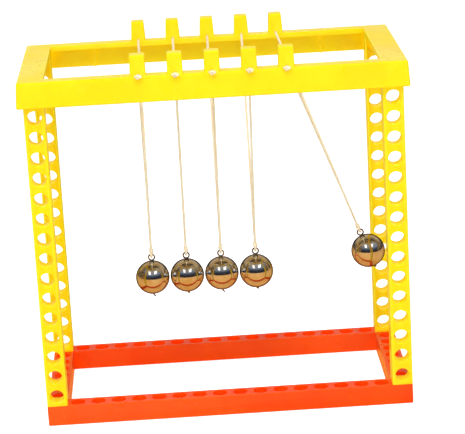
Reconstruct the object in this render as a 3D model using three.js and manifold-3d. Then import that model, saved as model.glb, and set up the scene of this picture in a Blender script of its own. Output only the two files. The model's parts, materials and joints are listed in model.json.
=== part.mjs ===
// A five-ball Newton's cradle on a perforated plastic stand.
// Millimetres, +Z up. The origin is the centre of the base's underside. The balls stand in a row
// along X, the front is at -Y, and each ball hangs on a V of string from both long sides of the cap.

import * as THREE from 'three';
import { mergeVertices } from 'three/addons/utils/BufferGeometryUtils.js';
import ManifoldModule from 'manifold-3d';

const wasm = await ManifoldModule();
wasm.setup();

// ---------- Driving dimensions ----------

// Every perforated bar is one pitch wide, with one hole per pitch.
const PITCH = 10;
const BASE_HOLES_ALONG = 18;
const BASE_HOLES_ACROSS = 9;
const BASE_HOLE_RADIUS = 3.6;
const BASE_HOLE_SIDES = 12;

const POST_HOLES = 16;
const POST_HOLE_RADIUS = 3.5;
const POST_HOLE_SIDES = 12;
const POST_WEB = 7.5;
const POST_RIM = 1;
const POST_FOOT = 1.2;
const SPIGOT_LENGTH = 8;
const SPIGOT_CLEARANCE = 0.1;

// The cap is a plate with a skirt that fits round the tops of the posts.
const CAP_PLATE = 2.7;
const CAP_HEIGHT = 12.5;
const CAP_WALL = 2;
const CAP_GAP = 0.3;
const CAP_END_STRIP = 12.6;
const CAP_SIDE_STRIP = 8;
// The cap's faces lean out by this much from its top to its bottom edge.
const CAP_DRAFT = 0.8;
const STUD_RADIUS = 3.2;
const STUD_REACH = 1.7;
const RIB_X = 58;
const RIB_WIDTH = 1.2;
const RIB_DEPTH = 0.8;

// String teeth stand on the long sides of the cap, one for each end of each string.
const BALL_COUNT = 5;
const BALL_PITCH = 17.5;
const TOOTH_HEIGHT = 10;
const TOOTH_BASE_WIDTH = 7.6;
const FRONT_TOOTH_TOP_WIDTH = 7.1;
const REAR_TOOTH_TOP_WIDTH = 6.2;
const TOOTH_INSET = 0.4;
const TUNNEL_WIDTH = 1.4;
const TUNNEL_HEIGHT = 1.3;

const STRING_RADIUS = 0.55;
const STRING_LIFT = 0.05;
const STRING_BREAK = 0.3;
const ANCHOR_KNOT_WIDTH = 4.2;
const ANCHOR_KNOT_HEIGHT = 2.4;
const ANCHOR_KNOT_DEPTH = 2;
const ANCHOR_KNOT_GAP = 0.3;
const BALL_KNOT_WIDTH = 2.7;
const BALL_KNOT_HEIGHT = 3.4;
const LOOP_RADIUS = 1.25;

const BALL_RADIUS = 8.5;
const BORE_RADIUS = 0.75;
const HANG_LENGTH = 114;
const WIRE_RADIUS = 0.4;
const EYE_RADIUS = 1.5;
const EYE_GAP = 0.1;
const WIRE_BEND = 0.6;
const TAIL_REACH = 1;
const LONG_TAIL = 1.1;
const SHORT_TAIL = 0.3;

// Balls are numbered from the left. Balls 1 and 3 have a longer wire end below them.
const TAIL_LENGTHS = [LONG_TAIL, SHORT_TAIL, LONG_TAIL, SHORT_TAIL, SHORT_TAIL];
// The last ball is held out to the right, as a swing starts.
const SWINGS_DEG = [0, 0, 0, 0, 20.25];

// Cutters run past the faces they cut, and joined solids run into each other, by this much.
const OVERRUN = 1;
// Corners closer than this are one corner.
const MERGE_DISTANCE = 1e-4;

// How finely round shapes are faceted.
const ARCH_SEGMENTS = 4;
const BALL_RINGS = 10;
const BALL_SIDES = 16;
const ROD_SIDES = 6;
const RING_SIDES = 12;
const KNOT_SIDES = 8;
const KNOT_RINGS = 5;

// ---------- Sizes that follow from them ----------

const BASE_LENGTH = BASE_HOLES_ALONG * PITCH;
const BASE_DEPTH = BASE_HOLES_ACROSS * PITCH;
const POST_HEIGHT = POST_HOLES * PITCH;
const POST_X = (BASE_LENGTH - PITCH) / 2;
const POST_Y = (BASE_DEPTH - PITCH) / 2;
const POST_TOP = PITCH + POST_HEIGHT;
const CAP_TOP = POST_TOP + CAP_PLATE;
const CAP_BOTTOM = CAP_TOP - CAP_HEIGHT;
const CAP_LENGTH = BASE_LENGTH + 2 * (CAP_GAP + CAP_WALL);
const CAP_DEPTH = BASE_DEPTH + 2 * (CAP_GAP + CAP_WALL);
const SIDE_INNER_Y = CAP_DEPTH / 2 - CAP_SIDE_STRIP;
const STRING_Z = CAP_TOP + STRING_LIFT + STRING_RADIUS;
const STRAND_Y = SIDE_INNER_Y - STRING_BREAK - STRING_RADIUS;
const EYE_Z = BALL_RADIUS + EYE_GAP + WIRE_RADIUS + EYE_RADIUS - HANG_LENGTH;
const LOOP_Z = EYE_Z + EYE_RADIUS;
const BALL_KNOT_Z = LOOP_Z + LOOP_RADIUS + BALL_KNOT_HEIGHT / 2 - STRING_RADIUS;

// ---------- Materials ----------

const YELLOW = new THREE.MeshStandardMaterial({ color: 0xffe619, roughness: 0.35, metalness: 0 });
const ORANGE = new THREE.MeshStandardMaterial({ color: 0xff5512, roughness: 0.35, metalness: 0 });
const STEEL = new THREE.MeshStandardMaterial({ color: 0x9a958c, roughness: 0.08, metalness: 1 });
const WIRE = new THREE.MeshStandardMaterial({ color: 0x8d8474, roughness: 0.3, metalness: 1 });
const THREAD = new THREE.MeshStandardMaterial({ color: 0xf6e7bd, roughness: 0.9, metalness: 0 });

// ---------- Solid helpers ----------

// A closed geometry becomes a solid once its shared corners are merged.
function solid(geometry) {
  const bare = geometry.index ? geometry.toNonIndexed() : geometry.clone();
  bare.deleteAttribute('normal');
  bare.deleteAttribute('uv');
  const merged = mergeVertices(bare, MERGE_DISTANCE);
  return new wasm.Manifold(new wasm.Mesh({
    numProp: 3,
    vertProperties: new Float32Array(merged.attributes.position.array),
    triVerts: new Uint32Array(merged.index.array),
  }));
}

function mesh(name, shape, material) {
  const result = shape.getMesh();
  const geometry = new THREE.BufferGeometry();
  geometry.setAttribute('position', new THREE.BufferAttribute(result.vertProperties, 3));
  geometry.setIndex(new THREE.BufferAttribute(result.triVerts, 1));
  geometry.computeVertexNormals();
  const object = new THREE.Mesh(geometry, material);
  object.name = name;
  return object;
}

function unite(shapes) {
  return shapes.reduce((whole, shape) => whole.add(shape));
}

function cut(shape, cutters) {
  return shape.subtract(unite(cutters));
}

// A box by its lowest and highest corners.
function box(low, high) {
  const size = new THREE.Vector3().subVectors(high, low);
  const centre = new THREE.Vector3().addVectors(low, high).multiplyScalar(0.5);
  const geometry = new THREE.BoxGeometry(size.x, size.y, size.z);
  return solid(geometry.translate(centre.x, centre.y, centre.z));
}

function point(x, y, z) {
  return new THREE.Vector3(x, y, z);
}

// A round bar from one point to another.
function rod(start, end, radius, sides) {
  const geometry = new THREE.CylinderGeometry(radius, radius, start.distanceTo(end), sides);
  const direction = new THREE.Vector3().subVectors(end, start).normalize();
  geometry.applyQuaternion(new THREE.Quaternion().setFromUnitVectors(point(0, 1, 0), direction));
  const centre = new THREE.Vector3().addVectors(start, end).multiplyScalar(0.5);
  return solid(geometry.translate(centre.x, centre.y, centre.z));
}

// A round swelling with its poles along Z, by its full sizes.
function ellipsoid(centre, sizeX, sizeY, sizeZ) {
  const geometry = new THREE.SphereGeometry(1, KNOT_SIDES, KNOT_RINGS).rotateX(Math.PI / 2);
  geometry.scale(sizeX / 2, sizeY / 2, sizeZ / 2);
  return solid(geometry.translate(centre.x, centre.y, centre.z));
}

// ---------- Base ----------

// A rectangle of perforated bar. The posts plug into its four corner holes.
function baseFrame() {
  const outer = box(
    point(-BASE_LENGTH / 2, -BASE_DEPTH / 2, 0),
    point(BASE_LENGTH / 2, BASE_DEPTH / 2, PITCH),
  );
  const opening = box(
    point(PITCH - BASE_LENGTH / 2, PITCH - BASE_DEPTH / 2, -OVERRUN),
    point(BASE_LENGTH / 2 - PITCH, BASE_DEPTH / 2 - PITCH, PITCH + OVERRUN),
  );
  const holes = [];
  for (let column = 0; column < BASE_HOLES_ALONG; column += 1) {
    for (let row = 0; row < BASE_HOLES_ACROSS; row += 1) {
      const onEnd = column === 0 || column === BASE_HOLES_ALONG - 1;
      const onSide = row === 0 || row === BASE_HOLES_ACROSS - 1;
      if (onEnd || onSide) {
        const x = column * PITCH - POST_X;
        const y = row * PITCH - POST_Y;
        const low = point(x, y, -OVERRUN);
        const high = point(x, y, PITCH + OVERRUN);
        holes.push(rod(low, high, BASE_HOLE_RADIUS, BASE_HOLE_SIDES));
      }
    }
  }
  return mesh('base_frame', cut(outer, [opening, ...holes]), ORANGE);
}

// ---------- Posts ----------

// A post stands on z = 0 with its perforated web at -Y and a shallow channel along its back.
function postSolid() {
  const half = PITCH / 2;
  const bar = box(point(-half, -half, 0), point(half, half, POST_HEIGHT));
  const channel = box(
    point(POST_RIM - half, POST_WEB - half, POST_FOOT),
    point(half - POST_RIM, half + OVERRUN, POST_HEIGHT + OVERRUN),
  );
  const holes = [];
  for (let hole = 0; hole < POST_HOLES; hole += 1) {
    const z = half + hole * PITCH;
    const front = point(0, -half - OVERRUN, z);
    const back = point(0, half + OVERRUN, z);
    holes.push(rod(front, back, POST_HOLE_RADIUS, POST_HOLE_SIDES));
  }
  const spigotRadius = BASE_HOLE_RADIUS - SPIGOT_CLEARANCE;
  const tip = point(0, 0, -SPIGOT_LENGTH);
  const spigot = rod(tip, point(0, 0, POST_FOOT), spigotRadius, BASE_HOLE_SIDES);
  return cut(bar, [channel, ...holes]).add(spigot);
}

function posts() {
  const shape = postSolid();
  const corners = [
    ['post_front_left', -1, -1],
    ['post_front_right', 1, -1],
    ['post_rear_left', -1, 1],
    ['post_rear_right', 1, 1],
  ];
  return corners.map(([name, sideX, sideY]) => {
    const post = mesh(name, shape, YELLOW);
    post.position.set(sideX * POST_X, sideY * POST_Y, PITCH);
    post.rotation.z = sideY > 0 ? Math.PI : 0;
    return post;
  });
}

// ---------- Cap ----------

// The solid between the cap's leaning faces, moved in by an inset on the long and on the short sides.
function capBlock(insetX, insetY, bottom, top) {
  const geometry = new THREE.BoxGeometry(1, 1, 1);
  const corners = geometry.attributes.position;
  for (let i = 0; i < corners.count; i += 1) {
    const z = corners.getZ(i) > 0 ? top : bottom;
    const lean = CAP_DRAFT * (CAP_TOP - z) / CAP_HEIGHT;
    const halfX = CAP_LENGTH / 2 - insetX + lean;
    const halfY = CAP_DEPTH / 2 - insetY + lean;
    corners.setXYZ(i, Math.sign(corners.getX(i)) * halfX, Math.sign(corners.getY(i)) * halfY, z);
  }
  return solid(geometry);
}

// A tooth tapers towards its top. The rear teeth taper more.
function tooth(x, side) {
  const topWidth = side < 0 ? FRONT_TOOTH_TOP_WIDTH : REAR_TOOTH_TOP_WIDTH;
  const geometry = new THREE.BoxGeometry(1, 1, 1);
  const corners = geometry.attributes.position;
  for (let i = 0; i < corners.count; i += 1) {
    const isTop = corners.getZ(i) > 0;
    const isOuter = corners.getY(i) * side > 0;
    const width = isTop ? topWidth : TOOTH_BASE_WIDTH;
    const inset = isTop ? TOOTH_INSET : 0;
    const fromCentre = isOuter ? CAP_DEPTH / 2 - inset : SIDE_INNER_Y + inset;
    const z = isTop ? CAP_TOP + TOOTH_HEIGHT : CAP_TOP - CAP_PLATE / 2;
    corners.setXYZ(i, x + Math.sign(corners.getX(i)) * width / 2, side * fromCentre, z);
  }
  return solid(geometry);
}

// A round-topped passage through a tooth, along Y, with its floor on the cap's plate.
function archway(x, width, height, startY, endY) {
  const outline = new THREE.Shape();
  outline.moveTo(-width / 2, 0);
  outline.lineTo(width / 2, 0);
  outline.lineTo(width / 2, height - width / 2);
  outline.absarc(0, height - width / 2, width / 2, 0, Math.PI, false);
  outline.lineTo(-width / 2, 0);
  const depth = Math.abs(endY - startY);
  const settings = { depth, bevelEnabled: false, curveSegments: ARCH_SEGMENTS };
  const geometry = new THREE.ExtrudeGeometry(outline, settings);
  geometry.rotateX(Math.PI / 2);
  return solid(geometry.translate(x, Math.max(startY, endY), CAP_TOP));
}

// The hole through a tooth for its string.
function toothTunnel(x, side) {
  const outerY = side * (CAP_DEPTH / 2 + OVERRUN);
  const innerY = side * (SIDE_INNER_Y - OVERRUN);
  return archway(x, TUNNEL_WIDTH, TUNNEL_HEIGHT, innerY, outerY);
}

// A stud on the skirt's inner face reaches into the top hole of a post.
function skirtStud(sideX, sideY) {
  const z = POST_TOP - PITCH / 2;
  const skirtInner = BASE_DEPTH / 2 + CAP_GAP;
  const start = point(sideX * POST_X, sideY * (skirtInner + CAP_WALL / 2), z);
  const end = point(sideX * POST_X, sideY * (BASE_DEPTH / 2 - STUD_REACH), z);
  return rod(start, end, STUD_RADIUS, POST_HOLE_SIDES);
}

// A low upright rib stiffens the inner face of a long side of the skirt.
function skirtRib(sideX, sideY) {
  const inner = BASE_DEPTH / 2 + CAP_GAP - RIB_DEPTH;
  const outer = inner + RIB_DEPTH + CAP_WALL / 2;
  const x = sideX * RIB_X;
  const low = point(x - RIB_WIDTH / 2, Math.min(sideY * inner, sideY * outer), CAP_BOTTOM);
  const high = point(x + RIB_WIDTH / 2, Math.max(sideY * inner, sideY * outer), POST_TOP + OVERRUN);
  return box(low, high);
}

function ballX(index) {
  return (index - (BALL_COUNT - 1) / 2) * BALL_PITCH;
}

function topCap() {
  const hollow = capBlock(CAP_WALL, CAP_WALL, CAP_BOTTOM - OVERRUN, POST_TOP);
  const opening = capBlock(CAP_END_STRIP, CAP_SIDE_STRIP, CAP_BOTTOM - OVERRUN, CAP_TOP + OVERRUN);
  const additions = [];
  const tunnels = [];
  for (const sideY of [-1, 1]) {
    for (const sideX of [-1, 1]) {
      additions.push(skirtStud(sideX, sideY), skirtRib(sideX, sideY));
    }
    for (let ball = 0; ball < BALL_COUNT; ball += 1) {
      additions.push(tooth(ballX(ball), sideY));
      tunnels.push(toothTunnel(ballX(ball), sideY));
    }
  }
  const shell = cut(capBlock(0, 0, CAP_BOTTOM, CAP_TOP), [hollow, opening]);
  return mesh('top_cap', cut(unite([shell, ...additions]), tunnels), YELLOW);
}

// ---------- Strings ----------

// The fixed end of a string: its knot outside the tooth, and the run through the tooth's tunnel.
function stringEnd(ball, side) {
  const x = ballX(ball);
  const knotY = side * (CAP_DEPTH / 2 + ANCHOR_KNOT_GAP + ANCHOR_KNOT_DEPTH / 2);
  const knot = ellipsoid(
    point(x, knotY, CAP_TOP),
    ANCHOR_KNOT_WIDTH,
    ANCHOR_KNOT_DEPTH,
    ANCHOR_KNOT_HEIGHT,
  );
  const exit = point(x, side * SIDE_INNER_Y, STRING_Z);
  const run = rod(point(x, knotY, STRING_Z), exit, STRING_RADIUS, ROD_SIDES);
  const sideName = side < 0 ? 'front' : 'rear';
  return mesh(`string_end_${sideName}_${ball + 1}`, knot.add(run), THREAD);
}

// The hanging string: two strands that meet in a knot, and a loop linked through the wire eye.
function hangingString(ball) {
  const knot = ellipsoid(
    point(0, 0, BALL_KNOT_Z),
    BALL_KNOT_WIDTH,
    BALL_KNOT_WIDTH,
    BALL_KNOT_HEIGHT,
  );
  const loopShape = new THREE.TorusGeometry(LOOP_RADIUS, STRING_RADIUS, ROD_SIDES, RING_SIDES);
  const loop = solid(loopShape.rotateY(Math.PI / 2).translate(0, 0, LOOP_Z));
  const strands = [-1, 1].map((side) => (
    rod(point(0, side * STRAND_Y, 0), point(0, 0, BALL_KNOT_Z), STRING_RADIUS, ROD_SIDES)
  ));
  return mesh(`string_${ball + 1}`, unite([knot, loop, ...strands]), THREAD);
}

// ---------- Balls and their wires ----------

// A ball with a narrow bore through its vertical axis.
function steelBall(ball) {
  const profile = [];
  const poleAngle = Math.asin(BORE_RADIUS / BALL_RADIUS);
  for (let step = 0; step <= BALL_RINGS; step += 1) {
    const angle = poleAngle + (Math.PI - 2 * poleAngle) * step / BALL_RINGS;
    profile.push(new THREE.Vector2(BALL_RADIUS * Math.sin(angle), -BALL_RADIUS * Math.cos(angle)));
  }
  profile.push(profile[0].clone());
  const geometry = new THREE.LatheGeometry(profile, BALL_SIDES).rotateX(Math.PI / 2);
  return mesh(`ball_${ball + 1}`, solid(geometry.translate(0, 0, -HANG_LENGTH)), STEEL);
}

// A wire through the ball: an eye above it, and an end bent aside below it.
function eyePin(ball) {
  const eyeShape = new THREE.TorusGeometry(EYE_RADIUS, WIRE_RADIUS, ROD_SIDES, RING_SIDES);
  const eye = solid(eyeShape.rotateX(Math.PI / 2).translate(0, 0, EYE_Z));
  const bend = point(0, 0, -HANG_LENGTH - BALL_RADIUS - WIRE_BEND);
  const tip = point(TAIL_REACH, 0, bend.z - TAIL_LENGTHS[ball]);
  const shank = rod(point(0, 0, EYE_Z - EYE_RADIUS), bend, WIRE_RADIUS, ROD_SIDES);
  const elbow = ellipsoid(bend, 2 * WIRE_RADIUS, 2 * WIRE_RADIUS, 2 * WIRE_RADIUS);
  const tail = rod(bend, tip, WIRE_RADIUS, ROD_SIDES);
  return mesh(`eye_pin_${ball + 1}`, unite([eye, shank, elbow, tail]), WIRE);
}

// A ball, its wire and its string swing together about the line where the string leaves the cap.
function pendulum(ball) {
  const group = new THREE.Group();
  group.add(hangingString(ball), eyePin(ball), steelBall(ball));
  group.position.set(ballX(ball), 0, STRING_Z);
  group.rotation.y = -THREE.MathUtils.degToRad(SWINGS_DEG[ball]);
  return group;
}

// ---------- Assembly ----------

const cradle = new THREE.Group();
cradle.add(baseFrame(), ...posts(), topCap());
for (let ball = 0; ball < BALL_COUNT; ball += 1) {
  cradle.add(stringEnd(ball, -1), stringEnd(ball, 1), pendulum(ball));
}

export default cradle;
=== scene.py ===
"""A five-ball Newton's cradle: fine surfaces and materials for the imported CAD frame.

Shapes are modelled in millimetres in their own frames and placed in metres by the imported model.
"""

import json
import math

import bmesh
import bpy
from mathutils import Matrix, Vector


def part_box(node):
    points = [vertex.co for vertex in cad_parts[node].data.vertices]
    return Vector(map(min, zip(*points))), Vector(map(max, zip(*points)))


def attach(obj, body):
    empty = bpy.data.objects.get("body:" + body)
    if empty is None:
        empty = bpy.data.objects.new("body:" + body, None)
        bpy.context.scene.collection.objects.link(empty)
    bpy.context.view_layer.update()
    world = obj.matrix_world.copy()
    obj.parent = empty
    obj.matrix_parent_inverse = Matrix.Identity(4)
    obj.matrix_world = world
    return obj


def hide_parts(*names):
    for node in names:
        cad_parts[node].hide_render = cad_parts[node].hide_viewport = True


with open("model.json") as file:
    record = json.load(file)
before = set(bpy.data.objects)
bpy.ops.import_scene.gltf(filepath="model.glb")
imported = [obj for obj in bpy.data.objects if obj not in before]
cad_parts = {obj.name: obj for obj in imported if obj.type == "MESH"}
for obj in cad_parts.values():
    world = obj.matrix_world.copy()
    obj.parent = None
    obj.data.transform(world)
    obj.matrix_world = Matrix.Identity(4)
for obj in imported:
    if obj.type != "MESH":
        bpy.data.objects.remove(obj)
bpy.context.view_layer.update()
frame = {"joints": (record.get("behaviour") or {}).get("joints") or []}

# ---------- Driving dimensions, in millimetres ----------
# A name that ends in EDGE is the radius of a rounded edge, one that ends in CORNER is the radius of an
# outline's corners, and one that ends in ANGLE is in degrees.

MM = 0.001
PITCH = 10
BASE_HOLES_ALONG = 18
BASE_HOLES_ACROSS = 9
BASE_HOLE_RADIUS = 3.6
BASE_EDGE = 0.45
BASE_CORNER = 0.54
BASE_OPENING_CORNER = 0.5
BASE_HOLE_EDGE = 0.25
GATE_X = 58.6
GATE_Z = 5.9
GATE_RADIUS = 1
GATE_HEIGHT = 0.4

POST_HOLES = 16
POST_HOLE_RADIUS = 3.5
POST_WEB = 7.5
POST_RIM = 1
POST_FOOT = 1.2
POST_EDGE = 0.45
POST_END_EDGE = POST_EDGE / 2
POST_HOLE_EDGE = 0.18
CHANNEL_EDGE = POST_RIM / 4
CHANNEL_CORNER = 0.15
SPIGOT_LENGTH = 8
SPIGOT_OVERLAP = 0.15
SPIGOT_CLEARANCE = 0.1

CAP_PLATE = 2.7
CAP_HEIGHT = 12.5
CAP_WALL = 2
CAP_GAP = 0.3
CAP_END_STRIP = 12.6
CAP_SIDE_STRIP = 8
CAP_DRAFT = 0.8
CAP_EDGE = 0.8
CAP_CORNER = 1.1
CAP_HOLLOW_CORNER = 0.4
CAP_OPENING_EDGE = CAP_EDGE / 2
CAP_OPENING_CORNER = 0.6
STUD_RADIUS = 3.2
STUD_REACH = 1.7
STUD_EDGE = 0.4
RIB_X = 58
RIB_WIDTH = 1.2
RIB_DEPTH = 0.8
RIB_EDGE = 0.25
RIB_CORNER = 0.1

BALL_COUNT = 5
TOOTH_HEIGHT = 10
TOOTH_BASE_WIDTH = 7.6
FRONT_TOOTH_TOP_WIDTH = 7.1
REAR_TOOTH_TOP_WIDTH = 6.2
TOOTH_INSET = 0.4
TOOTH_EDGE = 0.55
TUNNEL_WIDTH = 1.4
TUNNEL_HEIGHT = 1.3
TUNNEL_EDGE = 0.2

CORD_RADIUS = 0.55
HANGING_CORD_RADIUS = 0.66
KNOT_CORD_RADIUS = CORD_RADIUS * 0.95
CORD_LIFT = 0.05
CORD_BREAK = 0.3
CORD_LAY = 2.6
CORD_STEP = 0.22
CORD_PLIES = 3
PLY_SIDES = 5
PLY_PLACE = 0.53
LOOP_RADIUS = 1.25
LOOP_OPENING_ANGLE = 28
LOOP_STEPS = 40
STRANDS_APART = CORD_RADIUS * 0.72
STRANDS_SPREAD = 0.35
STRANDS_SPREAD_HEIGHT = 2.2
BALL_KNOT_WIDTH = 2.7
BALL_KNOT_HEIGHT = 3.4
WRAP_TURNS = 3
WRAP_POINTS = 60
WRAP_STEP = 0.14
WRAP_LOW_SHARE = 1.15
WRAP_TAPER = 0.5
ANCHOR_KNOT_WIDTH = 4.2
ANCHOR_KNOT_HEIGHT = 2.4
ANCHOR_KNOT_DEPTH = 2
ANCHOR_KNOT_GAP = 0.3
TREFOIL_HALF_WIDTH = 3
TREFOIL_HALF_HEIGHT = 2.6
TREFOIL_STEPS = 72
TREFOIL_BREAK = 3

BALL_RADIUS = 8.5
BALL_RINGS = 72
BALL_SIDES = 96
BORE_RADIUS = 0.75
BORE_EDGE = 0.2
HANG_LENGTH = 114
WIRE_RADIUS = 0.4
WIRE_STEP = 0.12
WIRE_SIDES = 12
EYE_RADIUS = 1.5
EYE_GAP = 0.1
EYE_OPENING_ANGLE = 10
EYE_STEPS = 56
WIRE_BEND = 0.6
BEND_RADIUS = 0.5
BEND_RISE = 0.2
BEND_ANGLE = 34.4
BEND_STEPS = 5
TAIL_REACH = 1
LONG_TAIL = 1.1
SHORT_TAIL = 0.3
LONG_TAILED = (1, 3)

ROUND_SIDES = 48
SMALL_ROUND_SIDES = 24
ARCH_STEPS = 10
EDGE_STEPS = 3
TIP_SHARE = 0.3
OVERRUN = 1
SKIM = 0.02
MERGE_DISTANCE = 1e-4

RECESS_REACH = 8
FLOOR_SIZE = 12000
FLOOR_GAP = 0.1

# ---------- Light and camera settings ----------
# White is a brightness of 1. Angles are in degrees and places in metres. Each window is the left, right,
# bottom and top of the directions it fills, as parts of a unit vector.

FILL_LIGHT = 0.6
ROOM_LIGHT = 0.25
BACKDROP_LIGHT = 0.8
WINDOW_LIGHT = 1.6
WINDOWS = ((-0.46, -0.16, 0.5, 0.84), (0.16, 0.52, 0.52, 0.84))
WINDOW_BLUR = 0.08
FLOOR_GLOW = 0.7
FLOOR_BOUNCE = 0.8
FLOOR_SHEEN = 0.5

CAMERA_AZIMUTH = 1.443
CAMERA_ELEVATION = 15.848
CAMERA_ROLL = -3.15
CAMERA_AIM = (0.0069, 0, 0.0882)
CAMERA_DISTANCE = 1.0365
LENS_LENGTH = 159.85
SENSOR_WIDTH = 36

# ---------- Sizes that follow from them ----------

BASE_LENGTH = BASE_HOLES_ALONG * PITCH
BASE_DEPTH = BASE_HOLES_ACROSS * PITCH
POST_HEIGHT = POST_HOLES * PITCH
POST_X = (BASE_LENGTH - PITCH) / 2
POST_Y = (BASE_DEPTH - PITCH) / 2
POST_TOP = PITCH + POST_HEIGHT
CAP_TOP = POST_TOP + CAP_PLATE
CAP_BOTTOM = CAP_TOP - CAP_HEIGHT
CAP_LENGTH = BASE_LENGTH + 2 * (CAP_GAP + CAP_WALL)
CAP_DEPTH = BASE_DEPTH + 2 * (CAP_GAP + CAP_WALL)
SIDE_INNER_Y = CAP_DEPTH / 2 - CAP_SIDE_STRIP
CORD_Z = CAP_TOP + CORD_LIFT + CORD_RADIUS
STRAND_Y = SIDE_INNER_Y - CORD_BREAK - CORD_RADIUS
EYE_Z = BALL_RADIUS + EYE_GAP + WIRE_RADIUS + EYE_RADIUS - HANG_LENGTH
LOOP_Z = EYE_Z + EYE_RADIUS
BALL_KNOT_Z = LOOP_Z + LOOP_RADIUS + BALL_KNOT_HEIGHT / 2 - CORD_RADIUS


# ---------- Outlines ----------

def rounded_polygon(corners, inset, radius):
    """A convex outline, moved in by inset, with its corners rounded."""
    outline = []
    count = len(corners)
    for i, corner in enumerate(corners):
        here = Vector(corner)
        back = (Vector(corners[i - 1]) - here).normalized()
        ahead = (Vector(corners[(i + 1) % count]) - here).normalized()
        half = back.angle(ahead) / 2
        inward = (back + ahead).normalized()
        here = here + inward * (inset / math.sin(half))
        centre = here + inward * (radius / math.sin(half))
        reach = radius / math.tan(half)
        start = here + back * reach - centre
        end = here + ahead * reach - centre
        for step in range(EDGE_STEPS + 1):
            spoke = start.lerp(end, step / EDGE_STEPS)
            outline.append(centre + spoke.normalized() * radius)
    return [(p.x, p.y) for p in outline]


def rectangle(half_x, half_y, inset, radius):
    """A rectangle round the origin, moved in by inset, with its corners rounded."""
    corners = [(-half_x, -half_y), (half_x, -half_y), (half_x, half_y), (-half_x, half_y)]
    return rounded_polygon(corners, inset, radius)


def circle(radius, sides=ROUND_SIDES):
    turn = 2 * math.pi / sides
    return [(radius * math.cos(turn * i), radius * math.sin(turn * i)) for i in range(sides)]


def archway(width, height, spread):
    """A round-topped outline standing on v = 0, wider by spread all round its arch."""
    half = width / 2 + spread
    spring = height - width / 2
    outline = [(-half, -SKIM), (half, -SKIM)]
    for step in range(ARCH_STEPS + 1):
        angle = math.pi * step / ARCH_STEPS
        outline.append((half * math.cos(angle), spring + half * math.sin(angle)))
    return outline


def fillet(radius):
    """(depth, offset) pairs down a quarter round, from the face at depth 0 to full depth."""
    pairs = []
    for step in range(EDGE_STEPS + 1):
        angle = math.pi / 2 * step / EDGE_STEPS
        pairs.append((radius * (1 - math.cos(angle)), radius * (1 - math.sin(angle))))
    return pairs


def rounded_ends(low, high, radius):
    """(position, inset) pairs along a bar whose two ends have rounded edges."""
    rising = [(low + depth, inset) for depth, inset in fillet(radius)]
    falling = [(high - depth, inset) for depth, inset in reversed(fillet(radius))]
    return rising + falling


def flared_ends(low, high, radius, low_too=True):
    """(position, spread) pairs along a cutter that rounds the edges of the hole it cuts."""
    falling = [(high + SKIM - depth, spread) for depth, spread in reversed(fillet(radius))]
    levels = falling + [(high + OVERRUN, radius)]
    if low_too:
        rising = [(low - SKIM + depth, spread) for depth, spread in fillet(radius)]
        return [(low - OVERRUN, radius)] + rising + levels
    return [(low, 0)] + levels


# ---------- Solids ----------

def loft(loops):
    """A closed solid through outlines of equal point counts, with flat ends."""
    solid = bmesh.new()
    rings = [[solid.verts.new(point) for point in loop] for loop in loops]
    count = len(rings[0])
    for low, high in zip(rings, rings[1:]):
        for i in range(count):
            j = (i + 1) % count
            solid.faces.new((low[i], low[j], high[j], high[i]))
    solid.faces.new(list(reversed(rings[0])))
    solid.faces.new(rings[-1])
    bmesh.ops.recalc_face_normals(solid, faces=solid.faces)
    return solid


def along_z(outline, z):
    """A flat outline as points at height z."""
    return [Vector((u, v, z)) for u, v in outline]


def along_y(outline, y):
    """A flat outline as upright points at y."""
    return [Vector((u, y, v)) for u, v in outline]


def moved(solid, matrix):
    """A moved copy of a solid."""
    copy = solid.copy()
    copy.transform(matrix)
    return copy


def shifted(solid, x, y, z):
    return moved(solid, Matrix.Translation((x, y, z)))


def gathered(solids):
    """Several solids in one mesh."""
    whole = bmesh.new()
    for solid in solids:
        mesh = bpy.data.meshes.new("part")
        solid.to_mesh(mesh)
        whole.from_mesh(mesh)
        bpy.data.meshes.remove(mesh)
    return whole


def bench_object(solid):
    """A solid as a passing scene object, for a modifier to work on."""
    mesh = bpy.data.meshes.new("bench")
    solid.to_mesh(mesh)
    obj = bpy.data.objects.new("bench", mesh)
    bpy.context.scene.collection.objects.link(obj)
    return obj


def boolean(solid, tools, operation):
    """Joins tools to a solid, or cuts them out of it. The tools don't overlap each other."""
    target = bench_object(solid)
    tool = bench_object(gathered(tools))
    step = target.modifiers.new("step", "BOOLEAN")
    step.operation = operation
    step.solver = "EXACT"
    step.object = tool
    depsgraph = bpy.context.evaluated_depsgraph_get()
    mesh = bpy.data.meshes.new_from_object(target.evaluated_get(depsgraph))
    result = bmesh.new()
    result.from_mesh(mesh)
    bmesh.ops.remove_doubles(result, verts=result.verts, dist=MERGE_DISTANCE)
    for obj in (target, tool):
        data = obj.data
        bpy.data.objects.remove(obj)
        bpy.data.meshes.remove(data)
    bpy.data.meshes.remove(mesh)
    return result


def sweep(path, sections):
    """A tube along a path, with one outline per path point and flat ends."""
    tangents = []
    for i in range(len(path)):
        tangents.append((path[min(i + 1, len(path) - 1)] - path[max(i - 1, 0)]).normalized())
    side = tangents[0].orthogonal().normalized()
    loops = []
    for point, tangent, section in zip(path, tangents, sections):
        side = (side - tangent * side.dot(tangent)).normalized()
        other = tangent.cross(side)
        loops.append([point + side * u + other * v for u, v in section])
    return loft(loops)


def spaced(points, step):
    """The polyline through points, cut into nearly equal steps."""
    lengths = [0]
    for a, b in zip(points, points[1:]):
        lengths.append(lengths[-1] + (b - a).length)
    count = max(2, round(lengths[-1] / step))
    path, leg = [], 0
    for i in range(count + 1):
        target = lengths[-1] * i / count
        while leg < len(points) - 2 and lengths[leg + 1] < target:
            leg += 1
        span = lengths[leg + 1] - lengths[leg]
        path.append(points[leg].lerp(points[leg + 1], (target - lengths[leg]) / span))
    return path


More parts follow.
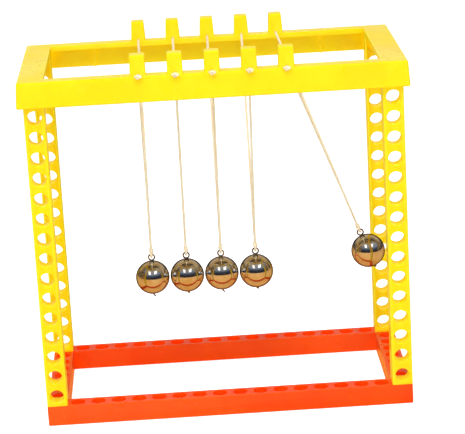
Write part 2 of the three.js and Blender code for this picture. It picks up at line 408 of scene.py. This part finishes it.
def rounded_tip(index, count, step, radius):
    """How far a tube has opened out at one of its points, for rounded tips."""
    from_end = min(index, count - 1 - index) * step
    if from_end >= radius:
        return 1
    return max(TIP_SHARE, math.sqrt(1 - (1 - from_end / radius) ** 2))


def cord_outline(radius, turn):
    """The cross-section of a cord of twisted plies."""
    centre = radius * PLY_PLACE
    ply = radius - centre
    outline = []
    for i in range(PLY_SIDES * CORD_PLIES):
        offset = (i % PLY_SIDES) / PLY_SIDES * 2 - 1
        angle = math.pi / CORD_PLIES * offset
        reach = math.sqrt(max(ply ** 2 - (centre * math.sin(angle)) ** 2, 0))
        distance = centre * math.cos(angle) + reach
        around = angle + 2 * math.pi / CORD_PLIES * (i // PLY_SIDES) + turn
        outline.append((distance * math.cos(around), distance * math.sin(around)))
    return outline


def cord(points, radius, step=CORD_STEP):
    """A twisted cord along points."""
    path = spaced(points, step)
    sections = []
    for i in range(len(path)):
        scale = rounded_tip(i, len(path), step, radius)
        sections.append(cord_outline(radius * scale, 2 * math.pi * i * step / CORD_LAY))
    return sweep(path, sections)


def wire(points):
    """A round wire along points."""
    path = spaced(points, WIRE_STEP)
    sections = []
    for i in range(len(path)):
        scale = rounded_tip(i, len(path), WIRE_STEP, WIRE_RADIUS)
        sections.append(circle(WIRE_RADIUS * scale, WIRE_SIDES))
    return sweep(path, sections)


def arc(centre, radius, start, end, steps, axis="XZ"):
    """Points round part of a circle. Angles in degrees, from the first axis towards the second."""
    points = []
    for step in range(steps + 1):
        angle = math.radians(start + (end - start) * step / steps)
        u, v = radius * math.cos(angle), radius * math.sin(angle)
        points.append(centre + (Vector((u, 0, v)) if axis == "XZ" else Vector((0, u, v))))
    return points


# ---------- Materials ----------

def linear(red, green, blue):
    """A colour given as 0 to 255 screen values, in the renderer's linear light."""
    values = []
    for value in (red, green, blue):
        share = value / 255
        values.append(share / 12.92 if share <= 0.04045 else ((share + 0.055) / 1.055) ** 2.4)
    return (*values, 1)


class Nodes:
    """A short way to write a node tree."""

    def __init__(self, owner):
        owner.use_nodes = True
        self.tree = owner.node_tree
        self.tree.nodes.clear()

    def add(self, kind, settings=None, **inputs):
        """A node with its settings, and its inputs set or linked by name."""
        node = self.tree.nodes.new(kind)
        for key, value in (settings or {}).items():
            setattr(node, key, value)
        for key, value in inputs.items():
            self.put(node.inputs[key.replace("_", " ")], value)
        return node

    def put(self, socket, value):
        """Links a socket to another one, or sets it to a plain value."""
        if isinstance(value, bpy.types.NodeSocket):
            self.tree.links.new(value, socket)
        else:
            socket.default_value = value

    def math(self, operation, *values):
        node = self.tree.nodes.new("ShaderNodeMath")
        node.operation = operation
        for socket, value in zip(node.inputs, values):
            self.put(socket, value)
        return node.outputs[0]

    def mix(self, share, first, second, blend="MIX"):
        node = self.tree.nodes.new("ShaderNodeMix")
        node.data_type = "RGBA"
        node.blend_type = blend
        self.put(node.inputs[0], share)
        self.put(node.inputs[6], first)
        self.put(node.inputs[7], second)
        return node.outputs[2]

    def ramp(self, value, stops):
        """A colour that eases from stop to stop, each a position and a colour."""
        node = self.tree.nodes.new("ShaderNodeValToRGB")
        node.color_ramp.interpolation = "EASE"
        elements = node.color_ramp.elements
        while len(elements) < len(stops):
            elements.new(0.5)
        for element, (position, colour) in zip(elements, stops):
            element.position = position
            element.color = colour
        self.put(node.inputs[0], value)
        return node.outputs[0]

    def noise(self, where, scale, detail=3, roughness=0.5, stretch=None):
        if stretch:
            where = self.add("ShaderNodeMapping", Vector=where, Scale=stretch).outputs[0]
        kind = "ShaderNodeTexNoise"
        return self.add(kind, Vector=where, Scale=scale, Detail=detail, Roughness=roughness).outputs[0]

    def span(self, value, low, high, new_low=0.0, new_high=1.0):
        """Carries a value smoothly from one span of numbers to another."""
        node = self.tree.nodes.new("ShaderNodeMapRange")
        node.interpolation_type = "SMOOTHSTEP"
        for socket, number in zip(node.inputs, (value, low, high, new_low, new_high)):
            self.put(socket, number)
        return node.outputs[0]

    def bump(self, strength, distance, height):
        return self.add("ShaderNodeBump", Strength=strength, Distance=distance, Height=height).outputs[0]

    def principled(self, inputs):
        shader = self.add("ShaderNodeBsdfPrincipled")
        for key, value in inputs.items():
            self.put(shader.inputs[key], value)
        return shader.outputs[0]

    def mix_shaders(self, share, first, second):
        node = self.add("ShaderNodeMixShader")
        for socket, value in zip(node.inputs, (share, first, second)):
            self.put(socket, value)
        return node.outputs[0]

    def output(self, surface, kind="ShaderNodeOutputMaterial"):
        self.add(kind, Surface=surface)


def grey(value):
    return (value, value, value, 1)


def plastic(name, colour, deep, pale):
    """Glossy moulded plastic: flow clouds in its colour, paler outer edges, peel and fine scratches.

    Deep in a hole it shines less and glows a little with painted light, and its reflection in a ball is
    painted browner.
    """
    material = bpy.data.materials.new(name)
    nodes = Nodes(material)
    place = nodes.add("ShaderNodeTexCoord").outputs["Object"]
    clouds = nodes.noise(place, 55, 4, 0.55, (1, 1, 0.6))
    flecks = nodes.noise(place, 900, 2, 0.5)
    tone = nodes.mix(nodes.span(clouds, 0.35, 0.7), colour, deep)
    tone = nodes.mix(nodes.math("MULTIPLY", nodes.span(flecks, 0.6, 0.8), 0.25), tone, pale)
    edges = nodes.add("ShaderNodeNewGeometry").outputs["Pointiness"]
    tone = nodes.mix(nodes.span(edges, 0.52, 0.62, 0, 0.35), tone, pale)
    peel = nodes.noise(place, 700, 2, 0.4)
    scratches = nodes.noise(place, 260, 6, 0.75, (1, 1, 14))
    height = nodes.math("ADD", peel, nodes.math("MULTIPLY", nodes.span(scratches, 0.62, 0.7), 0.35))
    smudges = nodes.noise(place, 30, 5, 0.6)
    # Painted reflection: to mirror rays the plastic turns browner, so the balls show it brown.
    mirrored = nodes.add("ShaderNodeLightPath").outputs["Is Singular Ray"]
    tone = nodes.mix(nodes.math("MULTIPLY", mirrored, 0.6), tone, linear(70, 40, 16))
    reach = RECESS_REACH * MM
    openness = nodes.add("ShaderNodeAmbientOcclusion", {"samples": 4}, Distance=reach).outputs["AO"]
    nodes.output(nodes.principled({
        "Base Color": tone,
        "Roughness": nodes.span(smudges, 0.3, 0.75, 0.24, 0.42),
        "IOR": 1.49,
        "Specular IOR Level": nodes.span(openness, 0.5, 0.85, 0.02, 0.22),
        "Subsurface Weight": 0.5,
        "Subsurface Radius": (0.004, 0.003, 0.0008),
        "Subsurface Scale": 1.0,
        "Emission Color": tone,
        # Painted light: where ambient occlusion finds the surface enclosed, it glows in its own colour,
        # lightening the hole walls.
        "Emission Strength": nodes.span(openness, 0.65, 0.35, 0, 0.25),
        "Normal": nodes.bump(0.22, 0.00006, height),
    }))
    return material


def polished_steel():
    """Mirror-bright ball steel with a painted brown reflection at its rim, a warm tarnish, hairlines,
    smudges and pits.
    """
    material = bpy.data.materials.new("polished_steel")
    nodes = Nodes(material)
    place = nodes.add("ShaderNodeTexCoord").outputs["Object"]
    smudges = nodes.noise(place, 210, 5, 0.6)
    tint = nodes.mix(nodes.span(smudges, 0.4, 0.75), grey(0.93), linear(226, 205, 170))
    # Painted reflection: towards the rim, where the ball turns away, its colour is multiplied down to
    # brown.
    facing = nodes.add("ShaderNodeLayerWeight", Blend=0.5).outputs["Facing"]
    tint = nodes.mix(nodes.span(facing, 0.48, 0.8, 0, 0.85), tint, linear(96, 70, 44), "MULTIPLY")
    hairlines = nodes.noise(place, 420, 8, 0.85, (1, 3, 9))
    pits = nodes.add("ShaderNodeTexVoronoi", Vector=place, Scale=900).outputs["Distance"]
    height = nodes.math("ADD", hairlines, nodes.span(pits, 0.02, 0.09, 0, 0.6))
    bump = nodes.bump(0.06, 0.00003, height)
    mirror, haze = (
        nodes.add("ShaderNodeBsdfAnisotropic", Color=tint, Roughness=roughness, Normal=bump).outputs[0]
        for roughness in (0.0, 0.22)
    )
    hazy = nodes.span(smudges, 0.45, 0.8, 0.04, 0.2)
    nodes.output(nodes.mix_shaders(hazy, mirror, haze))
    return material


def drawn_wire():
    """Steel wire with lengthwise draw lines and brown tarnish."""
    material = bpy.data.materials.new("drawn_wire")
    nodes = Nodes(material)
    place = nodes.add("ShaderNodeTexCoord").outputs["Object"]
    tarnish = nodes.noise(place, 500, 5, 0.65)
    tone = nodes.mix(nodes.span(tarnish, 0.35, 0.65), linear(150, 132, 100), linear(78, 58, 34))
    lines = nodes.noise(place, 2500, 4, 0.6, (1, 1, 0.08))
    nodes.output(nodes.principled({
        "Base Color": tone,
        "Metallic": 1.0,
        "Roughness": nodes.span(tarnish, 0.3, 0.7, 0.22, 0.5),
        "Normal": nodes.bump(0.25, 0.00003, lines),
    }))
    return material


def twisted_cord():
    """Cream cotton cord: fibres along the plies, painted shade in the grooves, with a soft fuzz sheen.
    """
    material = bpy.data.materials.new("twisted_cord")
    nodes = Nodes(material)
    place = nodes.add("ShaderNodeTexCoord").outputs["Object"]
    fibres = nodes.noise(place, 3200, 5, 0.7, (1, 1, 0.25))
    patches = nodes.noise(place, 120, 3, 0.5)
    tone = nodes.mix(nodes.span(patches, 0.35, 0.7), linear(255, 246, 222), linear(250, 234, 200))
    tone = nodes.mix(nodes.span(fibres, 0.3, 0.7, 0, 0.4), tone, linear(240, 214, 168))
    # Painted shade: the hollow grooves between the plies are darkened to brown.
    grooves = nodes.add("ShaderNodeNewGeometry").outputs["Pointiness"]
    tone = nodes.mix(nodes.span(grooves, 0.5, 0.4, 0, 0.45), tone, linear(196, 158, 104))
    nodes.output(nodes.principled({
        "Base Color": tone,
        "Roughness": 0.85,
        "Sheen Weight": 0.35,
        "Sheen Roughness": 0.5,
        "Subsurface Weight": 0.15,
        "Subsurface Radius": (0.0006, 0.0004, 0.0002),
        "Subsurface Scale": 1.0,
        "Normal": nodes.bump(0.6, 0.00008, fibres),
    }))
    return material


YELLOW = plastic(
    "yellow_plastic",
    colour=(0.95, 0.71, 0.003, 1),
    deep=(0.93, 0.66, 0.002, 1),
    pale=(0.98, 0.78, 0.04, 1),
)
ORANGE = plastic(
    "orange_plastic",
    colour=(0.92, 0.078, 0.003, 1),
    deep=(0.9, 0.062, 0.002, 1),
    pale=(0.96, 0.14, 0.02, 1),
)
STEEL = polished_steel()
WIRE = drawn_wire()
CORD = twisted_cord()


# ---------- Placing pieces ----------

def piece(name, solid, material, body, node, place=Matrix.Identity(4), sharp=40):
    """Puts a modelled solid in the scene, on its CAD body and in place of its CAD node."""
    solid.transform(place @ Matrix.Scale(MM, 4))
    mesh = bpy.data.meshes.new(name)
    solid.to_mesh(mesh)
    solid.free()
    mesh.shade_smooth()
    mesh.set_sharp_from_angle(angle=math.radians(sharp))
    mesh.materials.append(material)
    obj = bpy.data.objects.new(name, mesh)
    bpy.context.scene.collection.objects.link(obj)
    weighted = obj.modifiers.new("weighted_normals", "WEIGHTED_NORMAL")
    weighted.keep_sharp = True
    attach(obj, body)
    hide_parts(node)


def centre_of(node):
    """The middle of a CAD node's box, in metres."""
    low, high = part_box(node)
    return (low + high) / 2


# ---------- Base ----------

def base_frame():
    """A rectangle of perforated bar, with a small mark on its front where the mould was filled."""
    half_x, half_y = BASE_LENGTH / 2, BASE_DEPTH / 2
    solid = loft([
        along_z(rectangle(half_x, half_y, inset, BASE_CORNER), z)
        for z, inset in rounded_ends(0, PITCH, BASE_EDGE)
    ])
    opening = loft([
        along_z(rectangle(half_x - PITCH, half_y - PITCH, -spread, BASE_OPENING_CORNER), z)
        for z, spread in flared_ends(0, PITCH, BASE_EDGE)
    ])
    hole = loft([
        along_z(circle(BASE_HOLE_RADIUS + spread), z)
        for z, spread in flared_ends(0, PITCH, BASE_HOLE_EDGE)
    ])
    holes = []
    for column in range(BASE_HOLES_ALONG):
        for row in range(BASE_HOLES_ACROSS):
            on_end = column in (0, BASE_HOLES_ALONG - 1)
            on_side = row in (0, BASE_HOLES_ACROSS - 1)
            if on_end or on_side:
                holes.append(shifted(hole, column * PITCH - POST_X, row * PITCH - POST_Y, 0))
    gate_mark = loft([
        along_y(circle(GATE_RADIUS - inset, SMALL_ROUND_SIDES), -half_y - height)
        for height, inset in ((-OVERRUN, 0), (GATE_HEIGHT / 2, 0), (GATE_HEIGHT, GATE_HEIGHT))
    ])
    solid = boolean(solid, [opening], "DIFFERENCE")
    solid = boolean(solid, holes, "DIFFERENCE")
    solid = boolean(solid, [shifted(gate_mark, GATE_X, 0, GATE_Z)], "UNION")
    piece("base_frame_moulding", solid, ORANGE, "root", "base_frame")


# ---------- Posts ----------

def post_solid():
    """A post on z = 0 with its perforated web at -Y and a shallow channel along its back."""
    half = PITCH / 2
    solid = loft([
        along_z(rectangle(half, half, inset, POST_EDGE), z)
        for z, inset in rounded_ends(0, POST_HEIGHT, POST_END_EDGE)
    ])
    top = POST_HEIGHT + OVERRUN
    channel_levels = []
    for y, spread in flared_ends(POST_WEB - half, half, CHANNEL_EDGE, low_too=False):
        side = half - POST_RIM + spread
        bottom = POST_FOOT - spread
        corners = [(-side, bottom), (side, bottom), (side, top), (-side, top)]
        channel_levels.append(along_y(rounded_polygon(corners, 0, CHANNEL_CORNER), y))
    channel = loft(channel_levels)
    hole = loft([
        along_y(circle(POST_HOLE_RADIUS + spread), -y)
        for y, spread in flared_ends(-half - OVERRUN, half, POST_HOLE_EDGE, low_too=False)
    ])
    holes = [shifted(hole, 0, 0, half + PITCH * k) for k in range(POST_HOLES)]
    radius = BASE_HOLE_RADIUS - SPIGOT_CLEARANCE
    lower_end = [(-SPIGOT_LENGTH + depth, inset) for depth, inset in fillet(POST_EDGE)]
    spigot_levels = lower_end + [(SPIGOT_OVERLAP, 0)]
    spigot = loft([along_z(circle(radius - inset), z) for z, inset in spigot_levels])
    solid = boolean(solid, [channel], "DIFFERENCE")
    solid = boolean(solid, holes, "DIFFERENCE")
    return boolean(solid, [spigot], "UNION")


def posts():
    """The four posts. The rear two are turned round, so that every web faces out."""
    solid = post_solid()
    for front_rear, side_y in (("front", -1), ("rear", 1)):
        for left_right, side_x in (("left", -1), ("right", 1)):
            place = Matrix.Translation((side_x * POST_X * MM, side_y * POST_Y * MM, PITCH * MM))
            if side_y > 0:
                place = place @ Matrix.Rotation(math.pi, 4, "Z")
            node = f"post_{front_rear}_{left_right}"
            piece(f"{node}_moulding", solid.copy(), YELLOW, "root", node, place)


# ---------- Cap ----------

def cap_outline(z, wall_x, wall_y, inset, radius):
    """A level of the cap or of a space inside its walls. The faces lean out going down."""
    lean = CAP_DRAFT * (CAP_TOP - z) / CAP_HEIGHT
    half_x = CAP_LENGTH / 2 - wall_x + lean
    half_y = CAP_DEPTH / 2 - wall_y + lean
    return along_z(rectangle(half_x, half_y, inset, radius), z)


def tooth(side):
    """A tapering tooth on x = 0, at the front for side -1 and at the rear for side 1."""
    top_width = FRONT_TOOTH_TOP_WIDTH if side < 0 else REAR_TOOTH_TOP_WIDTH
    low = CAP_TOP - CAP_PLATE / 2
    top = CAP_TOP + TOOTH_HEIGHT
    rounded_top = [(top - depth, inset) for depth, inset in reversed(fillet(TOOTH_EDGE))]
    loops = []
    for z, inset in [(low, 0)] + rounded_top:
        share = (z - low) / (top - low)
        half = (TOOTH_BASE_WIDTH + (top_width - TOOTH_BASE_WIDTH) * share) / 2
        outer_y = CAP_DEPTH / 2 - TOOTH_INSET * share
        inner_y = SIDE_INNER_Y + TOOTH_INSET * share
        corners = [(-half, inner_y), (half, inner_y), (half, outer_y), (-half, outer_y)]
        loops.append(along_z(rounded_polygon(corners, inset, TOOTH_EDGE), z))
    solid = loft(loops)
    return solid if side > 0 else moved(solid, Matrix.Rotation(math.pi, 4, "Z"))


def tunnel(side):
    """A cutter on x = 0 for the cord's hole through a tooth, with rounded rims."""
    levels = flared_ends(SIDE_INNER_Y, CAP_DEPTH / 2, TUNNEL_EDGE)
    solid = loft([
        along_y(archway(TUNNEL_WIDTH, TUNNEL_HEIGHT, spread), side * y)
        for y, spread in levels
    ])
    return shifted(solid, 0, 0, CAP_TOP)


def skirt_stud(side_x, side_y):
    """A stud on the skirt's inner face that reaches into the top hole of a post."""
    start = BASE_DEPTH / 2 + CAP_GAP + CAP_WALL / 2
    end = BASE_DEPTH / 2 - STUD_REACH
    levels = [(start, 0)] + [(end + depth, inset) for depth, inset in reversed(fillet(STUD_EDGE))]
    solid = loft([along_y(circle(STUD_RADIUS - inset), side_y * y) for y, inset in levels])
    return shifted(solid, side_x * POST_X, 0, POST_TOP - PITCH / 2)


def skirt_rib(side_x, side_y):
    """A low upright rib on the inner face of a long side of the skirt."""
    start = BASE_DEPTH / 2 + CAP_GAP + CAP_WALL / 2
    end = BASE_DEPTH / 2 + CAP_GAP - RIB_DEPTH
    height = POST_TOP + CAP_PLATE / 2 - CAP_BOTTOM
    levels = [(start, 0)] + [(end + depth, inset) for depth, inset in reversed(fillet(RIB_EDGE))]
    solid = loft([
        along_y(rectangle(RIB_WIDTH / 2, height / 2, inset, RIB_CORNER), side_y * y)
        for y, inset in levels
    ])
    return shifted(solid, side_x * RIB_X, 0, CAP_BOTTOM + height / 2)


def top_cap(ball_xs):
    """A plate with a long opening, a skirt and ten teeth."""
    solid = loft([
        cap_outline(z, 0, 0, inset, CAP_CORNER)
        for z, inset in rounded_ends(CAP_BOTTOM, CAP_TOP, CAP_EDGE)
    ])
    hollow = loft([
        cap_outline(z, CAP_WALL, CAP_WALL, 0, CAP_HOLLOW_CORNER)
        for z in (CAP_BOTTOM - OVERRUN, POST_TOP)
    ])
    opening = loft([
        cap_outline(z, CAP_END_STRIP, CAP_SIDE_STRIP, -spread, CAP_OPENING_CORNER)
        for z, spread in flared_ends(POST_TOP, CAP_TOP, CAP_OPENING_EDGE)
    ])
    solid = boolean(solid, [hollow], "DIFFERENCE")
    solid = boolean(solid, [opening], "DIFFERENCE")
    teeth, tunnels, details = [], [], []
    for side in (-1, 1):
        for x in ball_xs:
            teeth.append(shifted(tooth(side), x, 0, 0))
            tunnels.append(shifted(tunnel(side), x, 0, 0))
        for side_x in (-1, 1):
            details.append(skirt_stud(side_x, side))
            details.append(skirt_rib(side_x, side))
    solid = boolean(solid, teeth, "UNION")
    solid = boolean(solid, tunnels, "DIFFERENCE")
    solid = boolean(solid, details, "UNION")
    piece("top_cap_moulding", solid, YELLOW, "root", "top_cap")


# ---------- Cords ----------

def cord_end(x, side, name, node):
    """The fixed end of a cord: the run through the tooth and an overhand knot outside it.

    The knot is an open trefoil curve, scaled to about fill the knot's width, depth and height.
    """
    knot_y = side * (CAP_DEPTH / 2 + ANCHOR_KNOT_GAP + ANCHOR_KNOT_DEPTH / 2)
    run = [
        Vector((0, side * (STRAND_Y + CORD_RADIUS / 2), CORD_Z)),
        Vector((0, side * (CAP_DEPTH / 2 + ANCHOR_KNOT_GAP), CORD_Z)),
        Vector((0, knot_y, CAP_TOP)),
    ]
    reach = Vector((
        (ANCHOR_KNOT_WIDTH / 2 - KNOT_CORD_RADIUS) / TREFOIL_HALF_WIDTH,
        ANCHOR_KNOT_DEPTH / 2 - KNOT_CORD_RADIUS,
        (ANCHOR_KNOT_HEIGHT / 2 - KNOT_CORD_RADIUS) / TREFOIL_HALF_HEIGHT,
    ))
    knot = []
    for i in range(TREFOIL_STEPS - TREFOIL_BREAK):
        t = 2 * math.pi * i / TREFOIL_STEPS
        knot.append(Vector((
            reach.x * (math.sin(t) + 2 * math.sin(2 * t)),
            reach.y * -math.sin(3 * t) + knot_y,
            reach.z * (math.cos(t) - 2 * math.cos(2 * t)) + CAP_TOP,
        )))
    solid = gathered([cord(run, CORD_RADIUS), cord(knot, KNOT_CORD_RADIUS)])
    place = Matrix.Translation((x * MM, 0, 0))
    piece(name, solid, CORD, "root", node, place, sharp=80)


def hanging_cord(body, place, name, node):
    """The hanging cord: down one strand, round the loop in the wire's eye and up the other.

    Above the loop it is wrapped round itself for a knot, which narrows going up.
    """
    knot_top = BALL_KNOT_Z + BALL_KNOT_HEIGHT / 2
    knot_bottom = BALL_KNOT_Z - BALL_KNOT_HEIGHT / 2
    loop_ends = (90 + LOOP_OPENING_ANGLE, 450 - LOOP_OPENING_ANGLE)
    loop = arc(Vector((0, 0, LOOP_Z)), LOOP_RADIUS, *loop_ends, LOOP_STEPS, "YZ")
    strand = [
        Vector((0, STRANDS_APART, knot_bottom)),
        Vector((0, STRANDS_APART, knot_top)),
        Vector((0, STRANDS_APART + STRANDS_SPREAD, knot_top + STRANDS_SPREAD_HEIGHT)),
        Vector((0, STRAND_Y, 0)),
    ]
    other_strand = [Vector((0, -point.y, point.z)) for point in reversed(strand)]
    wrap_radius = BALL_KNOT_WIDTH / 2 - CORD_RADIUS
    wraps = []
    for i in range(WRAP_POINTS + 1):
        share = i / WRAP_POINTS
        angle = 2 * math.pi * WRAP_TURNS * share
        radius = wrap_radius * (WRAP_LOW_SHARE - WRAP_TAPER * share)
        height = (BALL_KNOT_HEIGHT - CORD_RADIUS) * share
        wraps.append(Vector((radius * math.cos(angle), radius * math.sin(angle), knot_bottom + height)))
    solid = gathered([
        cord(other_strand + loop + strand, HANGING_CORD_RADIUS),
        cord(wraps, KNOT_CORD_RADIUS, WRAP_STEP),
    ])
    piece(name, solid, CORD, body, node, place, sharp=80)


# ---------- Balls and their wires ----------

def ball(body, place, name, node):
    """A ball with a narrow bore whose mouths are rounded."""
    mouth = BORE_RADIUS + BORE_EDGE
    start = math.asin(mouth / BALL_RADIUS)
    profile = []
    for step in range(BALL_RINGS + 1):
        angle = start + (math.pi - 2 * start) * step / BALL_RINGS
        profile.append((BALL_RADIUS * math.sin(angle), -BALL_RADIUS * math.cos(angle)))
    half = BALL_RADIUS * math.cos(start)
    rim = [(BORE_RADIUS + offset, half - depth) for depth, offset in fillet(BORE_EDGE)][1:]
    profile += rim + [(radius, -z) for radius, z in reversed(rim)]
    solid = bmesh.new()
    rows = []
    for radius, z in profile:
        ring = circle(radius, BALL_SIDES)
        rows.append([solid.verts.new((u, v, z - HANG_LENGTH)) for u, v in ring])
    for i, row in enumerate(rows):
        following = rows[(i + 1) % len(rows)]
        for j in range(BALL_SIDES):
            k = (j + 1) % BALL_SIDES
            solid.faces.new((row[j], row[k], following[k], following[j]))
    bmesh.ops.recalc_face_normals(solid, faces=solid.faces)
    piece(name, solid, STEEL, body, node, place)


def eye_pin(body, place, name, node, tail_length):
    """One wire: an open-ended eye above the ball, a shank through it and a bent end below it."""
    bend_z = -HANG_LENGTH - BALL_RADIUS - WIRE_BEND
    eye = arc(Vector((0, 0, EYE_Z)), EYE_RADIUS, 270 - EYE_OPENING_ANGLE, -90, EYE_STEPS)
    shank_top = Vector((0, 0, EYE_Z - EYE_RADIUS - WIRE_RADIUS))
    bend_centre = Vector((BEND_RADIUS, 0, bend_z + BEND_RISE))
    bend = arc(bend_centre, BEND_RADIUS, 180, 180 + BEND_ANGLE, BEND_STEPS)
    tip = Vector((TAIL_REACH, 0, bend_z - tail_length))
    piece(name, wire(eye + [shank_top] + bend + [tip]), WIRE, body, node, place)


# ---------- Assembly ----------

def pendulums():
    """The five balls with their wires and cords. Returns where their pivots stand along X, in mm."""
    joints = {joint["child"]: joint for joint in frame["joints"]}
    xs = []
    for number in range(1, BALL_COUNT + 1):
        body = f"pendulum_{number}"
        pivot = Vector(joints[body]["pos_m"])
        hang = centre_of(f"ball_{number}") - pivot
        swing = math.atan2(hang.x, -hang.z)
        place = Matrix.Translation(pivot) @ Matrix.Rotation(-swing, 4, "Y")
        tail = LONG_TAIL if number in LONG_TAILED else SHORT_TAIL
        hanging_cord(body, place, f"cord_{number}", f"string_{number}")
        eye_pin(body, place, f"wire_pin_{number}", f"eye_pin_{number}", tail)
        ball(body, place, f"steel_ball_{number}", f"ball_{number}")
        x = pivot.x / MM
        for side_name, side in (("front", -1), ("rear", 1)):
            node = f"string_end_{side_name}_{number}"
            cord_end(x, side, f"cord_end_{side_name}_{number}", node)
        xs.append(x)
    return xs


# ---------- Floor, light and camera ----------

def between(nodes, value, low, high):
    """1 where the value is well inside low to high, falling softly to 0 at both."""
    rising = nodes.span(value, low, low + WINDOW_BLUR)
    return nodes.math("MULTIPLY", rising, nodes.span(value, high, high - WINDOW_BLUR))


def room(nodes, direction):
    """What a mirror sees: a dim room in front with two windows, and warm walls and ceiling round it."""
    x, y, z = nodes.add("ShaderNodeSeparateXYZ", Vector=direction).outputs
    clouds = nodes.noise(direction, 5, 4, 0.6)
    dim = nodes.ramp(nodes.span(z, -0.4, 1), [
        (0.0, linear(70, 60, 50)),
        (0.32, linear(24, 24, 32)),
        (0.5, linear(50, 56, 72)),
        (0.75, linear(120, 130, 146)),
        (0.95, linear(150, 140, 124)),
    ])
    walls = nodes.mix(nodes.span(clouds, 0.38, 0.62), linear(34, 27, 14), linear(132, 102, 56))
    ceiling = nodes.mix(nodes.span(clouds, 0.4, 0.6), linear(84, 58, 26), linear(146, 108, 58))
    aside = nodes.math("MAXIMUM", nodes.span(x, -0.7, -0.85), nodes.span(x, 0.8, 0.92))
    colour = nodes.mix(nodes.span(z, 0.88, 0.95), dim, ceiling)
    colour = nodes.mix(aside, colour, walls)
    colour = nodes.mix(nodes.span(y, -0.25, 0.1), colour, walls)
    behind = nodes.mix(nodes.span(z, 0.15, 0.5), linear(46, 38, 22), linear(186, 160, 124))
    colour = nodes.mix(nodes.span(y, 0.1, 0.7), colour, behind)
    in_front = nodes.span(y, 0, -0.3)
    for left, right, bottom, top in WINDOWS:
        across = between(nodes, x, left, right)
        window = nodes.math("MULTIPLY", across, between(nodes, z, bottom, top))
        window = nodes.math("MULTIPLY", window, in_front)
        colour = nodes.mix(window, colour, grey(WINDOW_LIGHT))
    return colour


def studio_world():
    """White to the camera, a pale backdrop and a dim front to the plastics, a room to the mirrors."""
    world = bpy.data.worlds.new("studio")
    bpy.context.scene.world = world
    nodes = Nodes(world)
    direction = nodes.add("ShaderNodeTexCoord").outputs["Generated"]
    ray = nodes.add("ShaderNodeLightPath").outputs
    _, y, z = nodes.add("ShaderNodeSeparateXYZ", Vector=direction).outputs
    backdrop = nodes.math("MULTIPLY", nodes.span(y, -0.1, 0.5), nodes.span(z, 0.5, 0.16))
    light = nodes.mix(backdrop, grey(ROOM_LIGHT), grey(BACKDROP_LIGHT))
    light = nodes.mix(ray["Is Diffuse Ray"], light, grey(FILL_LIGHT))
    light = nodes.mix(ray["Is Singular Ray"], light, room(nodes, direction))
    colour = nodes.mix(ray["Is Camera Ray"], light, grey(1.0))
    background = nodes.add("ShaderNodeBackground", Color=colour, Strength=1.0).outputs[0]
    nodes.output(background, "ShaderNodeOutputWorld")


def pale_floor():
    """White to the camera and clear from below. The plastics and the mirrors see it warm."""
    material = bpy.data.materials.new("floor")
    nodes = Nodes(material)
    place = nodes.add("ShaderNodeTexCoord").outputs["Object"]
    ray = nodes.add("ShaderNodeLightPath").outputs
    seen = ray["Is Camera Ray"]
    pale = nodes.mix(nodes.noise(place, 25, 3), grey(0.9), grey(0.87))
    bounce = nodes.mix(ray["Is Glossy Ray"], grey(FLOOR_BOUNCE), linear(232, 200, 84))
    mirrored = nodes.mix(ray["Is Singular Ray"], bounce, linear(205, 150, 82))
    blurred = nodes.math("SUBTRACT", ray["Is Glossy Ray"], ray["Is Singular Ray"])
    sheen = nodes.math("MULTIPLY", blurred, FLOOR_SHEEN)
    matt = nodes.principled({
        "Base Color": nodes.mix(seen, mirrored, pale),
        "Roughness": 0.9,
        "Emission Color": nodes.mix(seen, linear(255, 186, 84), grey(1.0)),
        "Emission Strength": nodes.math("MAXIMUM", nodes.math("MULTIPLY", seen, FLOOR_GLOW), sheen),
    })
    from_below = nodes.add("ShaderNodeNewGeometry").outputs["Backfacing"]
    clear = nodes.add("ShaderNodeBsdfTransparent").outputs[0]
    nodes.output(nodes.mix_shaders(from_below, matt, clear))
    return material


def floor():
    """A plain floor just under the stand."""
    half = FLOOR_SIZE / 2 * MM
    low = -FLOOR_GAP * MM
    mesh = bpy.data.meshes.new("floor")
    corners = [(-half, -half, low), (half, -half, low), (half, half, low), (-half, half, low)]
    mesh.from_pydata(corners, [], [(0, 1, 2, 3)])
    mesh.materials.append(pale_floor())
    obj = bpy.data.objects.new("floor", mesh)
    bpy.context.scene.collection.objects.link(obj)


def area_light(name, position, target, size, power):
    """A round, soft light that glossy surfaces don't mirror."""
    light = bpy.data.lights.new(name, "AREA")
    light.shape = "DISK"
    light.size = size
    light.energy = power
    obj = bpy.data.objects.new(name, light)
    obj.location = position
    obj.rotation_mode = "QUATERNION"
    obj.rotation_quaternion = (Vector(target) - Vector(position)).to_track_quat("-Z", "Y")
    obj.visible_glossy = False
    bpy.context.scene.collection.objects.link(obj)


def camera():
    """Looks slightly down at the front, a metre away, with the picture turned a little."""
    azimuth = math.radians(CAMERA_AZIMUTH)
    elevation = math.radians(CAMERA_ELEVATION)
    roll = math.radians(CAMERA_ROLL)
    forward = Vector((
        math.sin(azimuth) * math.cos(elevation),
        math.cos(azimuth) * math.cos(elevation),
        -math.sin(elevation),
    ))
    level = forward.cross(Vector((0, 0, 1))).normalized()
    lift = level.cross(forward)
    right = level * math.cos(roll) + lift * math.sin(roll)
    up = lift * math.cos(roll) - level * math.sin(roll)
    data = bpy.data.cameras.new("camera")
    data.lens = LENS_LENGTH
    data.sensor_width = SENSOR_WIDTH
    obj = bpy.data.objects.new("camera", data)
    turn = Matrix((right, up, -forward)).transposed().to_4x4()
    obj.matrix_world = Matrix.Translation(Vector(CAMERA_AIM) - forward * CAMERA_DISTANCE) @ turn
    bpy.context.scene.collection.objects.link(obj)
    bpy.context.scene.camera = obj


base_frame()
posts()
top_cap(pendulums())
studio_world()
floor()
area_light("overhead", position=(-0.15, -0.53, 1.04), target=(0, 0, 0.12), size=0.6, power=7.5)
area_light("front", position=(0.15, -1.3, 0.4), target=(0, 0, 0.08), size=0.9, power=4.2)
camera()
bpy.context.scene.view_settings.view_transform = "Standard"
